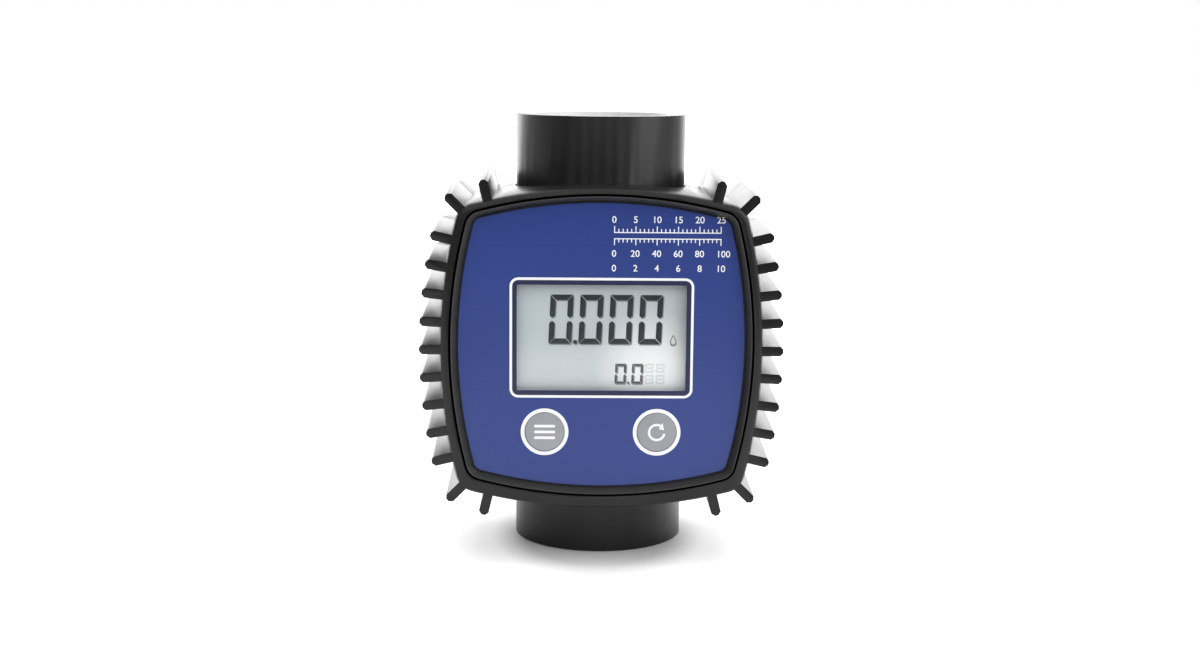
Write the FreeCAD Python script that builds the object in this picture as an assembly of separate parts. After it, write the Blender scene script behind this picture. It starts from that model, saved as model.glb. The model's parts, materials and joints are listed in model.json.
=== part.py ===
import FreeCAD, Part
import math
import os

from FreeCAD import Placement, Rotation, Vector

# In-line turbine flow meter with a battery display. Millimetres.
# The flow runs up the Z axis. The origin is the centre of the lower (inlet) port face, the
# display looks along -Y, and +X is to the right of someone who reads it.
# "Ahead" is a distance from the tube's axis towards the reader, and "rise" a height above the
# middle of the tube, where the display and the rotor are centred.

# ---------------------------------------------------------------- fits
RUNNING_FIT = 0.05          # rotor shaft in its bushes, on the radius
SEAT_FIT = 0.05             # cartridge pieces in the tube, on the radius
SLIP = 0.3                  # loose pieces that must not bind
EDGE_FIT = 0.1              # glass, lens and label in their frames
DIAGONAL = math.sqrt(0.5)   # share of a round corner's radius, seen along a side

# ---------------------------------------------------------------- port tube
LENGTH = 102.0              # port face to port face
THREAD_R = 16.65            # major radius of a one inch pipe thread
THREAD_LENGTH = 19.0
THREAD_WALL = 3.5           # metal outside the thread
CHAMBER_STEP = 1.65         # from the thread's radius to the bore that takes the cartridge
OUTLET_STEP = 1.8           # from there to the bore past the cartridge
COLLAR = 1.65               # how far the locating collar stands out
COLLAR_WIDTH = 1.8
COLLAR_RISE = 30.2          # lower face of the collar, above the middle

# ---------------------------------------------------------------- cartridge
SLEEVE_LENGTH = 18.0
INLET_STATOR_LENGTH = 12.0
OUTLET_STATOR_LENGTH = 10.0
RING_THICKNESS = 1.5        # retaining ring
RING_GRIP = 0.8             # how deep the retaining ring sits in its groove
RING_WIDTH = 2.2
RING_GAP = 40.0             # degrees
HUB_R = 5.0
NOSE = 4.5                  # length of the hubs' pointed ends
NOSE_SETBACK = 1.0          # from a stator's outer face to the point of its hub
NOSE_WAIST = 0.55           # share of the nose's length where its taper changes
NOSE_WAIST_R = 0.8          # shares of the hub's radius, there and at the blunt tip
NOSE_TIP_R = 0.3
VANES = 4
VANE = 1.4
BUSH_R = 2.5
BUSH_LENGTH = 3.5
SHAFT_R = 1.0
SLEEVE_WALL = 2.25

# ---------------------------------------------------------------- rotor
ROTOR_LENGTH = 14.0
TIP_GAP = 0.5
BLADES = 5
BLADE_LENGTH = 10.0
BLADE_LEAD = 130.0          # axial travel in one turn of a blade
BLADE_ROOT = 1.5
BLADE_TIP = 0.9
BLADE_SECTIONS = 4
BLADE_BURY = 0.8            # blades start at this share of the hub's radius
MAGNET = 2.0                # side of the square bar magnets
MAGNET_LENGTH = 4.0

# ---------------------------------------------------------------- housing outlines
BOSS_R = 4.8                # corner bosses, centred on the outlines' corner arcs
BOSS_TO_TUBE = 1.4
LABEL_CORNER_R = 2.5
LABEL_SIDE_R = 107.0
HOUSING_CORNER_R = 5.0
HOUSING_SIDE_R = 120.0
HOUSING_CORNER_STEP = 1.37  # housing's corner centres lie this far outside the label's
HOUSING_DROP = 0.8          # housing's outline is centred this far below the display
BEVEL = 1.1                 # width of the bevel round the label
BEZEL_LAND = 0.15
GROOVE = 0.55               # gap between bezel and housing
RING_ROUND = 1.4            # rounding of the ring face's outer edge
ROUND_STEPS = 2             # bevels that make up a rounding
RING_STEP = 0.2             # the bezel's rim stands this far past the ring face

# ---------------------------------------------------------------- fins
FIN = 2.2                   # thickness
FIN_CHAMFER = 0.7
FIN_REACH = 5.5             # past the housing's outline, at the housings' parting plane
FIN_FRONT_REACH = 4.5       # less at the ends: the mould's draft
FIN_BACK_REACH = 3.6
FIN_PITCH = 6.2
FIN_STEPS = 4               # fins each side of the middle one
END_FIN = 25.6              # from the middle to the fins above and below
FIN_SETBACK = 0.5           # from the ring face to the fins' front ends
FIN_BACK = 13.0             # fins end this far behind the axis
FIN_EMBED = 0.15            # least depth of a fin's root in the wall

# ---------------------------------------------------------------- display module
COVER_CLEARANCE = 0.55      # from the tube to the module's back cover
COVER = 1.2
COVER_GAP = 1.7             # from the cover to the circuit board
BOARD = 1.6
DISPLAY_GAP = 1.6           # from the board to the display glass
GLASS = 2.2
PLATE = 1.5
LABEL = 0.4
RIM = 2.0                   # bezel rim above the label
SKIRT = 1.8
SEAL = 0.8
SEAL_WIDTH = 0.7
VIEW_WIDTH = 38.2           # what shows of the display
VIEW_HEIGHT = 24.1
VIEW_RISE = 1.8
LENS_MARGIN = 1.1
GLASS_MARGIN = 2.2
FRAME_WALL = 1.2
STRIP_WIDTH = 2.0
BUTTON_RAISE = 6.85         # buttons' height above the outlines' lower corner centres
BUTTON_R = 4.45
BUTTON_PROUD = 0.15         # above the label
BUTTON_FLANGE = 0.95        # how far the flange stands out from the cap
BUTTON_FLANGE_T = 0.6
BUTTON_TRAVEL = 0.5
SWITCH = 6.0                # side of the square switch body
SWITCH_HEIGHT = 2.0
STEM = 2.6                  # side of the square plunger
STEM_DEPTH = 0.5            # stem inside the switch body, at rest
CHIP = 10.0
CHIP_T = 1.2
PASSIVE = 1.6               # width of the small chip parts
SENSOR_R = 3.0
POCKET_WALL = 2.0           # metal left between the pocket and the chamber

# ---------------------------------------------------------------- batteries, size N
CELL_R = 6.0
CELL_LENGTH = 30.2
CELL_BUTTON_R = 2.0
CELL_BUTTON = 0.8
CELL_FIT = 0.35
CELL_SINK = 1.46            # from the cover's front down to the cells
POD_WALL = 1.2
POD_CLEARANCE = 0.5         # from a pod to the tube
CONTACT = 0.5
CONTACT_WIDTH = 6.0
TAB_WIDTH = 2.4
SPRING = 3.0                # height of the leaf spring

# ---------------------------------------------------------------- rear housing and screws
REAR_DEPTH = 16.0
REAR_WALL = 2.2
REAR_ROUND = 4.0
BOSS_EMBED = 0.5            # depth of the bosses in the rear wall
HUMP_WALL = 2.95            # of the half-round back, outside the tube's passage
SCREW_R = 1.45
SCREW_HOLE_R = 1.7
SCREW_HEAD_R = 2.75
SCREW_HEAD = 2.6
HEAD_CLEARANCE = 0.35
SCREW_SEAT = 7.0            # screw heads sit this far behind the axis
SCREW_POST = 5.6            # side of the square posts round the screw tips
SCREW_FLOOR = 1.2           # plastic left beyond a blind screw hole
BOARD_POST = 4.0            # side of the square posts behind the plate
PEG_R = 1.2                 # pegs on two of those posts, pushed through the board
PEG_PROUD = 0.8
BOARD_EDGE = 4.2            # board past its posts' middles
BOARD_CORNER = 5.0

# ---------------------------------------------------------------- places that follow
TUBE_R = THREAD_R + THREAD_WALL
CHAMBER_R = THREAD_R - CHAMBER_STEP
OUTLET_R = CHAMBER_R - OUTLET_STEP
MIDDLE = LENGTH / 2
ROTOR_LOW = MIDDLE - ROTOR_LENGTH / 2
ROTOR_HIGH = MIDDLE + ROTOR_LENGTH / 2
SLEEVE_LOW = MIDDLE - SLEEVE_LENGTH / 2
SLEEVE_HIGH = MIDDLE + SLEEVE_LENGTH / 2
INLET_STATOR_LOW = SLEEVE_LOW - INLET_STATOR_LENGTH
OUTLET_STATOR_HIGH = SLEEVE_HIGH + OUTLET_STATOR_LENGTH
CARTRIDGE_R = CHAMBER_R - SEAT_FIT
SLEEVE_BORE_R = CARTRIDGE_R - SLEEVE_WALL
TUBE_PASSAGE_R = TUBE_R + SLIP

CORNER = TUBE_PASSAGE_R + BOSS_TO_TUBE + BOSS_R
BUTTON_X = VIEW_WIDTH / 3
BUTTON_DROP = CORNER - BUTTON_RAISE
BUTTON_HOLE_R = BUTTON_R + SLIP
FLANGE_R = BUTTON_R + BUTTON_FLANGE
GLASS_WIDTH = VIEW_WIDTH + 2 * GLASS_MARGIN
GLASS_HEIGHT = VIEW_HEIGHT + 2 * GLASS_MARGIN
FRAME_WIDTH = GLASS_WIDTH + 2 * (EDGE_FIT + FRAME_WALL)
FRAME_HEIGHT = GLASS_HEIGHT + 2 * (EDGE_FIT + FRAME_WALL)
POST_X = BUTTON_X + FLANGE_R + SLIP + BOARD_POST / 2
POST_TOP = VIEW_RISE + FRAME_HEIGHT / 2 + SLIP + BOARD_POST / 2


# ---------------------------------------------------------------- outlines
# An outline is (corner centre, corner radius, side radius): a square with four bowed sides
# whose arcs run smoothly into its round corners.

def grown(outline, by):
    corner, corner_r, side_r = outline
    return corner, corner_r + by, side_r + by


def side_centre(outline):
    """Where the right side's arc has its centre, along X."""
    corner, corner_r, side_r = outline
    return corner - math.sqrt((side_r - corner_r) ** 2 - corner ** 2)


def side_at(outline, rise=0.0):
    """How far out the side is at a height above the middle."""
    side_r = outline[2]
    return side_centre(outline) + math.sqrt(side_r ** 2 - rise ** 2)


LABEL_OUTLINE = (CORNER, LABEL_CORNER_R, LABEL_SIDE_R)
RECESS_OUTLINE = grown(LABEL_OUTLINE, EDGE_FIT)
BEVEL_OUTLINE = grown(RECESS_OUTLINE, BEVEL - EDGE_FIT)
BEZEL_OUTLINE = grown(BEVEL_OUTLINE, BEZEL_LAND)
OPENING_OUTLINE = grown(BEZEL_OUTLINE, GROOVE)
SKIRT_OUTLINE = grown(BEZEL_OUTLINE, -SKIRT)
SEAL_OUTLINE = grown(BEZEL_OUTLINE, -(SKIRT - SEAL_WIDTH) / 2)
HOUSING_OUTLINE = (CORNER + HOUSING_CORNER_STEP, HOUSING_CORNER_R, HOUSING_SIDE_R)

POD_RISE = (CELL_LENGTH + SPRING) / 2 + CONTACT
POD_R = CELL_R + CELL_FIT + POD_WALL

COVER_BACK = TUBE_R + COVER_CLEARANCE
COVER_FRONT = COVER_BACK + COVER
CELL_AHEAD = COVER_FRONT - CELL_SINK - CELL_R
CELL_X = math.sqrt((TUBE_R + POD_CLEARANCE + POD_R) ** 2 - CELL_AHEAD ** 2)
BOARD_BACK = COVER_FRONT + COVER_GAP
BOARD_FRONT = BOARD_BACK + BOARD
GLASS_BACK = BOARD_FRONT + DISPLAY_GAP
PLATE_BACK = GLASS_BACK + GLASS + EDGE_FIT
PLATE_FRONT = PLATE_BACK + PLATE
LABEL_FRONT = PLATE_FRONT + LABEL
RIM_FRONT = LABEL_FRONT + RIM
RING_FRONT = RIM_FRONT - RING_STEP
SKIRT_BACK = COVER_FRONT + SEAL


# ---------------------------------------------------------------- shape helpers
def at(x, ahead, rise):
    return Vector(x, -ahead, MIDDLE + rise)


def turned(x, rise, quarter):
    """A point of the front view, turned by quarter turns about the middle."""
    for _ in range(quarter):
        x, rise = -rise, x
    return x, rise


def outline_wire(outline, ahead):
    corner, corner_r, side_r = outline
    centre = side_centre(outline)
    share = side_r / (side_r - corner_r)
    join_x = centre + share * (corner - centre)
    join_rise = share * corner
    apex = corner + corner_r * DIAGONAL
    edges = []
    for quarter in range(4):
        path = [(join_x, -join_rise), (centre + side_r, 0.0), (join_x, join_rise),
                (apex, apex), (join_rise, join_x)]
        points = []
        for x, rise in path:
            x, rise = turned(x, rise, quarter)
            points.append(at(x, ahead, rise))
        edges.append(Part.Arc(points[0], points[1], points[2]).toShape())
        edges.append(Part.Arc(points[2], points[3], points[4]).toShape())
    return Part.Wire(edges)


def slab(outline, back, front):
    face = Part.Face(outline_wire(outline, back))
    return face.extrude(Vector(0, back - front, 0))


def rounded_slab(outline, base, face, rounding):
    """A slab whose edge at the face is rounded off in equal bevels."""
    sense = math.copysign(rounding, face - base)
    sections = [(outline, face - sense)]
    for step in range(1, ROUND_STEPS + 1):
        turn = math.pi / 2 * step / ROUND_STEPS
        narrower = grown(outline, rounding * (math.cos(turn) - 1))
        sections.append((narrower, face + sense * (math.sin(turn) - 1)))
    pieces = [slab(outline, base, face - sense)]
    for first, second in zip(sections, sections[1:]):
        pieces.append(Part.makeLoft([outline_wire(*first), outline_wire(*second)], True, True))
    return joined(pieces)


def block(width, height, back, front, x=0.0, rise=0.0):
    """A box centred on x and rise in the front view."""
    corner = at(x - width / 2, front, rise - height / 2)
    return Part.makeBox(width, front - back, height, corner)


def stud(radius, back, front, x=0.0, rise=0.0):
    """A cylinder that points at the reader."""
    return Part.makeCylinder(radius, front - back, at(x, back, rise), Vector(0, -1, 0))


def rod(radius, low, high, x=0.0, y=0.0):
    """An upright cylinder between two heights above the inlet face."""
    return Part.makeCylinder(radius, high - low, Vector(x, y, low))


def tube(outer_r, inner_r, low, high):
    return rod(outer_r, low, high).cut(rod(inner_r, low, high))


def joined(shapes):
    return shapes[0].multiFuse(shapes[1:]).removeSplitter()


def corner_places(reach):
    return [(x, rise) for x in (-reach, reach) for rise in (-reach, reach)]


# ---------------------------------------------------------------- tube
def flow_tube():
    collar_low = MIDDLE + COLLAR_RISE
    body = rod(TUBE_R, 0, LENGTH).fuse(rod(TUBE_R + COLLAR, collar_low, collar_low + COLLAR_WIDTH))
    collar_flat = COVER_BACK - SLIP
    body = body.cut(block(2 * TUBE_R, LENGTH, collar_flat, collar_flat + 2 * COLLAR))

    groove_r = CHAMBER_R + RING_GRIP + SEAT_FIT
    hollows = [rod(THREAD_R, 0, THREAD_LENGTH),
               rod(CHAMBER_R, THREAD_LENGTH, OUTLET_STATOR_HIGH),
               rod(groove_r, INLET_STATOR_LOW - RING_THICKNESS, INLET_STATOR_LOW),
               rod(OUTLET_R, OUTLET_STATOR_HIGH, LENGTH - THREAD_LENGTH),
               rod(THREAD_R, LENGTH - THREAD_LENGTH, LENGTH),
               stud(SENSOR_R + SLIP, CHAMBER_R + POCKET_WALL, COVER_BACK)]
    for hollow in hollows:
        body = body.cut(hollow)
    return body


# ---------------------------------------------------------------- cartridge
def pointed_hub(flat, shoulder, point):
    """A round hub, flat at one end and drawn out at the other in two tapers to a blunt nose."""
    waist = shoulder + (point - shoulder) * NOSE_WAIST
    corners = [Vector(0, 0, flat), Vector(HUB_R, 0, flat), Vector(HUB_R, 0, shoulder),
               Vector(HUB_R * NOSE_WAIST_R, 0, waist), Vector(HUB_R * NOSE_TIP_R, 0, point),
               Vector(0, 0, point)]
    profile = Part.Face(Part.makePolygon(corners + corners[:1]))
    return profile.revolve(Vector(0, 0, 0), Vector(0, 0, 1), 360)


def stator(outer, inner):
    """A hub on straight vanes, flat at the rotor's side (inner) and pointed at the other.
    The vanes' tips sit in the tube's bore, and their ends against the sleeve."""
    sense = math.copysign(1.0, inner - outer)
    point = outer + sense * NOSE_SETBACK
    shoulder = point + sense * NOSE
    pieces = [pointed_hub(inner, shoulder, point)]
    vane_low = min(shoulder, inner)
    tip = math.sqrt(CARTRIDGE_R ** 2 - (VANE / 2) ** 2)
    for number in range(VANES):
        web = Part.makeBox(tip - HUB_R / 2, VANE, abs(inner - shoulder),
                           Vector(HUB_R / 2, -VANE / 2, vane_low))
        foot = Part.makeBox(tip - OUTLET_R, VANE, abs(inner - outer),
                            Vector(OUTLET_R, -VANE / 2, min(outer, inner)))
        vane = web.fuse(foot)
        vane.rotate(Vector(0, 0, 0), Vector(0, 0, 1), 360 / VANES * (number + 0.5))
        pieces.append(vane)
    ends = sorted((inner, inner - sense * BUSH_LENGTH))
    return joined(pieces).cut(rod(BUSH_R, ends[0], ends[1]))


def bush(low):
    return tube(BUSH_R, SHAFT_R + RUNNING_FIT, low, low + BUSH_LENGTH)


def turbine_sleeve():
    return tube(CARTRIDGE_R, SLEEVE_BORE_R, SLEEVE_LOW, SLEEVE_HIGH)


def retaining_ring():
    """An open spring ring, with its gap towards the reader."""
    low = INLET_STATOR_LOW - RING_THICKNESS
    outer_r = CHAMBER_R + RING_GRIP
    gap = Part.makeCylinder(2 * outer_r, RING_THICKNESS, Vector(0, 0, low), Vector(0, 0, 1), RING_GAP)
    gap.rotate(Vector(0, 0, 0), Vector(0, 0, 1), -90 - RING_GAP / 2)
    return tube(outer_r, outer_r - RING_WIDTH, low, INLET_STATOR_LOW).cut(gap)


# ---------------------------------------------------------------- rotor
def blade():
    """One helical blade: a thin section that turns as it climbs, trimmed to the tip circle."""
    tip_r = SLEEVE_BORE_R - TIP_GAP
    root_r = HUB_R * BLADE_BURY
    overshoot = tip_r + TIP_GAP
    low = MIDDLE - BLADE_LENGTH / 2
    sections = []
    for step in range(BLADE_SECTIONS):
        climb = BLADE_LENGTH * step / (BLADE_SECTIONS - 1)
        corners = [Vector(root_r, -BLADE_ROOT / 2, low + climb),
                   Vector(overshoot, -BLADE_TIP / 2, low + climb),
                   Vector(overshoot, BLADE_TIP / 2, low + climb),
                   Vector(root_r, BLADE_ROOT / 2, low + climb)]
        section = Part.makePolygon(corners + corners[:1])
        section.rotate(Vector(0, 0, 0), Vector(0, 0, 1), 360 * climb / BLADE_LEAD)
        sections.append(section)
    twisted = Part.makeLoft(sections, True, False)
    return twisted.common(rod(tip_r, low, low + BLADE_LENGTH))


def magnet_bars():
    """Two bar magnets, one each side of the shaft, in the hub's inlet end."""
    reach = (HUB_R + SHAFT_R) / 2
    return [Part.makeBox(MAGNET, MAGNET, MAGNET_LENGTH,
                         Vector(x - MAGNET / 2, -MAGNET / 2, ROTOR_LOW)) for x in (-reach, reach)]


def rotor():
    first = blade()
    pieces = [rod(HUB_R, ROTOR_LOW, ROTOR_HIGH)]
    for number in range(BLADES):
        copy = first.copy()
        copy.rotate(Vector(0, 0, 0), Vector(0, 0, 1), 360 / BLADES * number)
        pieces.append(copy)
    body = pieces[0].multiFuse(pieces[1:]).cut(rod(SHAFT_R, ROTOR_LOW, ROTOR_HIGH))
    for magnet in magnet_bars():
        body = body.cut(magnet)
    return body


def rotor_shaft():
    reach = SLEEVE_LENGTH / 2 + BUSH_LENGTH - SLIP
    return rod(SHAFT_R, MIDDLE - reach, MIDDLE + reach)


# ---------------------------------------------------------------- fins
def fin_section(y, reach):
    """A fin's section across the Y axis, with chamfered tip edges, reaching along +X."""
    half = FIN / 2
    root = reach - FIN_REACH - FIN_EMBED
    shoulder = reach - FIN_CHAMFER
    land = half - FIN_CHAMFER
    path = [(root, -half), (shoulder, -half), (reach, -land), (reach, land), (shoulder, half),
            (root, half)]
    corners = [Vector(x, y, z) for x, z in path]
    return Part.Face(Part.makePolygon(corners + corners[:1]))


def fin(end, end_reach):
    """The stretch of a fin from one end to the parting plane, where it reaches furthest."""
    return fin_section(end, end_reach).extrude(Vector(FIN_REACH - end_reach, -end, 0))


def fin_places():
    """Each fin's root on the housing's outline, and the way it points, in degrees.
    The two upright sides have a full row. Above and below, the tube leaves room for two."""
    places = []
    for step in range(-FIN_STEPS, FIN_STEPS + 1):
        rise = step * FIN_PITCH
        x = side_at(HOUSING_OUTLINE, rise)
        lean = math.degrees(math.asin(rise / LABEL_SIDE_R))
        places += [(x, rise, lean), (-x, rise, 180 - lean)]
    for x in (-END_FIN, END_FIN):
        rise = side_at(HOUSING_OUTLINE, x)
        lean = math.degrees(math.asin(x / LABEL_SIDE_R))
        places += [(x, rise, 90 - lean), (x, -rise, lean - 90)]
    apex = HOUSING_OUTLINE[0] + HOUSING_CORNER_R * DIAGONAL
    for x, rise in corner_places(apex):
        places.append((x, rise, math.degrees(math.atan2(rise, x))))
    return places


def fin_row(first):
    row = []
    for x, rise, direction in fin_places():
        copy = first.copy()
        copy.Placement = Placement(at(x, 0, rise - HOUSING_DROP), Rotation(Vector(0, -1, 0), direction))
        row.append(copy)
    return row


# ---------------------------------------------------------------- housings
def dropped(shape):
    return shape.translated(Vector(0, 0, -HOUSING_DROP))


def tube_passage():
    """What the tube and its collar take out of both housings."""
    low = MIDDLE + COLLAR_RISE - SLIP
    high = MIDDLE + COLLAR_RISE + COLLAR_WIDTH + SLIP
    return rod(TUBE_PASSAGE_R, 0, LENGTH).fuse(rod(TUBE_R + COLLAR + SLIP, low, high))


def front_housing():
    shell = dropped(rounded_slab(HOUSING_OUTLINE, 0, RING_FRONT, RING_ROUND))
    shell = shell.cut(slab(OPENING_OUTLINE, 0, RING_FRONT))
    pieces = [shell] + fin_row(fin(FIN_SETBACK - RING_FRONT, FIN_FRONT_REACH))
    for x, rise in corner_places(CORNER):
        pieces.append(stud(BOSS_R, 0, COVER_BACK, x, rise))
    body = pieces[0].multiFuse(pieces[1:]).cut(tube_passage())
    for x, rise in corner_places(CORNER):
        body = body.cut(stud(SCREW_HOLE_R, 0, COVER_BACK, x, rise))
    return body


def rear_housing():
    back_r = TUBE_PASSAGE_R + HUMP_WALL
    hump = dropped(slab(HOUSING_OUTLINE, -back_r, 0)).common(rod(back_r, 0, LENGTH))
    shell = rounded_slab(HOUSING_OUTLINE, 0, -REAR_DEPTH, REAR_ROUND)
    shell = dropped(shell.cut(slab(OPENING_OUTLINE, REAR_WALL - REAR_DEPTH, 0)))
    pieces = [shell, hump] + fin_row(fin(FIN_BACK, FIN_BACK_REACH))
    for x, rise in corner_places(CORNER):
        pieces.append(stud(BOSS_R, REAR_WALL - REAR_DEPTH - BOSS_EMBED, 0, x, rise))
    body = pieces[0].multiFuse(pieces[1:]).cut(tube_passage())
    for x, rise in corner_places(CORNER):
        body = body.cut(stud(SCREW_HOLE_R, -REAR_DEPTH, 0, x, rise))
        body = body.cut(stud(SCREW_HEAD_R + HEAD_CLEARANCE, -REAR_DEPTH, -SCREW_SEAT, x, rise))
    return body


def housing_screws():
    """Long screws from behind that clamp both housings and the display module."""
    tip = PLATE_BACK - SCREW_FLOOR - SLIP
    screws = []
    for x, rise in corner_places(CORNER):
        shank = stud(SCREW_R, -SCREW_SEAT, tip, x, rise)
        head = stud(SCREW_HEAD_R, -SCREW_SEAT - SCREW_HEAD, -SCREW_SEAT, x, rise)
        screws.append(shank.fuse(head))
    return Part.makeCompound(screws)


# ---------------------------------------------------------------- display module
def post_places():
    return [(x, rise) for x in (-POST_X, POST_X) for rise in (-BUTTON_DROP, POST_TOP)]


def peg_places():
    return [(-POST_X, POST_TOP), (POST_X, -BUTTON_DROP)]


def button_places():
    return [(-BUTTON_X, -BUTTON_DROP), (BUTTON_X, -BUTTON_DROP)]


def lens_block(extra):
    width = VIEW_WIDTH + 2 * (LENS_MARGIN + extra)
    height = VIEW_HEIGHT + 2 * (LENS_MARGIN + extra)
    return block(width, height, PLATE_BACK, PLATE_FRONT, 0, VIEW_RISE)


def display_bezel():
    body = slab(BEZEL_OUTLINE, SKIRT_BACK, RIM_FRONT)
    body = body.cut(slab(SKIRT_OUTLINE, SKIRT_BACK, PLATE_BACK))
    body = body.cut(slab(RECESS_OUTLINE, PLATE_FRONT, LABEL_FRONT))
    bevel = Part.makeLoft([outline_wire(RECESS_OUTLINE, LABEL_FRONT),
                           outline_wire(BEVEL_OUTLINE, RIM_FRONT)], True, True)
    body = body.cut(bevel).cut(lens_block(EDGE_FIT))
    for x, rise in button_places():
        body = body.cut(stud(BUTTON_HOLE_R, PLATE_BACK, PLATE_FRONT, x, rise))

    posts = [block(SCREW_POST, SCREW_POST, SKIRT_BACK, PLATE_BACK, x, rise)
             for x, rise in corner_places(CORNER - LABEL_CORNER_R / 2)]
    posts += [block(BOARD_POST, BOARD_POST, BOARD_FRONT, PLATE_BACK, x, rise) for x, rise in post_places()]
    posts += [stud(PEG_R, BOARD_BACK - PEG_PROUD, BOARD_FRONT, x, rise) for x, rise in peg_places()]
    body = body.multiFuse(posts)
    for x, rise in corner_places(CORNER):
        body = body.cut(stud(SCREW_R + SEAT_FIT, SKIRT_BACK, PLATE_BACK - SCREW_FLOOR, x, rise))
    return body


def face_label():
    body = slab(LABEL_OUTLINE, PLATE_FRONT, LABEL_FRONT)
    body = body.cut(block(VIEW_WIDTH, VIEW_HEIGHT, PLATE_FRONT, LABEL_FRONT, 0, VIEW_RISE))
    for x, rise in button_places():
        body = body.cut(stud(BUTTON_HOLE_R, PLATE_FRONT, LABEL_FRONT, x, rise))
    return body


def lcd_glass():
    return block(GLASS_WIDTH, GLASS_HEIGHT, GLASS_BACK, GLASS_BACK + GLASS, 0, VIEW_RISE)


def lcd_frame():
    outer = block(FRAME_WIDTH, FRAME_HEIGHT, BOARD_FRONT, PLATE_BACK, 0, VIEW_RISE)
    inner = block(FRAME_WIDTH - 2 * FRAME_WALL, FRAME_HEIGHT - 2 * FRAME_WALL,
                  BOARD_FRONT, PLATE_BACK, 0, VIEW_RISE)
    return outer.cut(inner)


def lcd_connector_strips():
    offset = (GLASS_HEIGHT - STRIP_WIDTH) / 2
    strips = [block(VIEW_WIDTH, STRIP_WIDTH, BOARD_FRONT, GLASS_BACK, 0, VIEW_RISE + side * offset)
              for side in (-1, 1)]
    return Part.makeCompound(strips)


def circuit_board():
    half_width = POST_X + BOARD_EDGE
    top = POST_TOP + BOARD_EDGE
    bottom = -BUTTON_DROP - BOARD_EDGE
    corners = []
    for side, end, first in ((1, bottom, 1), (1, top, 0), (-1, top, 1), (-1, bottom, 0)):
        inward = math.copysign(BOARD_CORNER, end)
        ends = [(side * half_width, end - inward), (side * (half_width - BOARD_CORNER), end)]
        if first:
            ends.reverse()
        corners += [at(x, BOARD_BACK, rise) for x, rise in ends]
    board = Part.Face(Part.makePolygon(corners + corners[:1])).extrude(Vector(0, -BOARD, 0))
    for x, rise in peg_places():
        board = board.cut(stud(PEG_R + EDGE_FIT, BOARD_BACK, BOARD_FRONT, x, rise))
    return board


def microcontroller():
    return block(CHIP, CHIP, BOARD_FRONT, BOARD_FRONT + CHIP_T, 0, VIEW_RISE)


def board_parts():
    """A crystal can and two rows of small chip parts on the front of the board."""
    parts = [block(CHIP / 2, 2 * PASSIVE, BOARD_FRONT, BOARD_FRONT + PASSIVE, 0, -BUTTON_DROP)]
    for side in (-1, 1):
        for step in range(3):
            x = side * (CHIP / 2 + PASSIVE * (2 + 2 * step))
            parts.append(block(PASSIVE, 2 * PASSIVE, BOARD_FRONT, BOARD_FRONT + PASSIVE / 2, x, VIEW_RISE))
    return Part.makeCompound(parts)


def pickup_sensor():
    return stud(SENSOR_R, CHAMBER_R + POCKET_WALL + SLIP, BOARD_BACK)


def module_seal():
    outer = slab(SEAL_OUTLINE, COVER_FRONT, SKIRT_BACK)
    return outer.cut(slab(grown(SEAL_OUTLINE, -SEAL_WIDTH), COVER_FRONT, SKIRT_BACK))


# ---------------------------------------------------------------- buttons
def button(x):
    flange_back = PLATE_BACK - BUTTON_FLANGE_T
    cap = stud(BUTTON_R, flange_back, LABEL_FRONT + BUTTON_PROUD, x, -BUTTON_DROP)
    return cap.fuse(stud(FLANGE_R, flange_back, PLATE_BACK, x, -BUTTON_DROP))


def switch_body(x):
    top = BOARD_FRONT + SWITCH_HEIGHT
    body = block(SWITCH, SWITCH, BOARD_FRONT, top, x, -BUTTON_DROP)
    well_floor = top - STEM_DEPTH - BUTTON_TRAVEL - SLIP
    well = STEM + 2 * SLIP
    return body.cut(block(well, well, well_floor, top, x, -BUTTON_DROP))


def switch_stem(x):
    back = BOARD_FRONT + SWITCH_HEIGHT - STEM_DEPTH
    return block(STEM, STEM, back, PLATE_BACK - BUTTON_FLANGE_T, x, -BUTTON_DROP)


# ---------------------------------------------------------------- batteries and back cover
def pod(side, radius, rise):
    """A trough with a round floor, open towards the reader."""
    x = side * CELL_X
    floor = rod(radius, MIDDLE - rise, MIDDLE + rise, x, -CELL_AHEAD)
    floor = floor.common(block(2 * radius, 2 * rise, CELL_AHEAD - radius, CELL_AHEAD, x))
    return floor.fuse(block(2 * radius, 2 * rise, CELL_AHEAD, COVER_FRONT, x)).removeSplitter()


def module_back_cover():
    body = slab(BEZEL_OUTLINE, COVER_BACK, COVER_FRONT)
    body = body.multiFuse([pod(side, POD_R, POD_RISE + POD_WALL) for side in (-1, 1)])
    for side in (-1, 1):
        body = body.cut(pod(side, POD_R - POD_WALL, POD_RISE))
    body = body.cut(stud(SENSOR_R + SLIP, COVER_BACK, COVER_FRONT))
    for x, rise in corner_places(CORNER):
        body = body.cut(stud(SCREW_HOLE_R, COVER_BACK, COVER_FRONT, x, rise))
    return body


def battery(side):
    """A cell whose button end is up on the left and down on the right."""
    low = MIDDLE - POD_RISE + CONTACT
    if side < 0:
        low += SPRING
    x = side * CELL_X
    body_low = low
    button_low = low + CELL_LENGTH - CELL_BUTTON
    if side > 0:
        body_low = low + CELL_BUTTON
        button_low = low
    can = rod(CELL_R, body_low, body_low + CELL_LENGTH - CELL_BUTTON, x, -CELL_AHEAD)
    return can.fuse(rod(CELL_BUTTON_R, button_low, button_low + CELL_BUTTON, x, -CELL_AHEAD))


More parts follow.
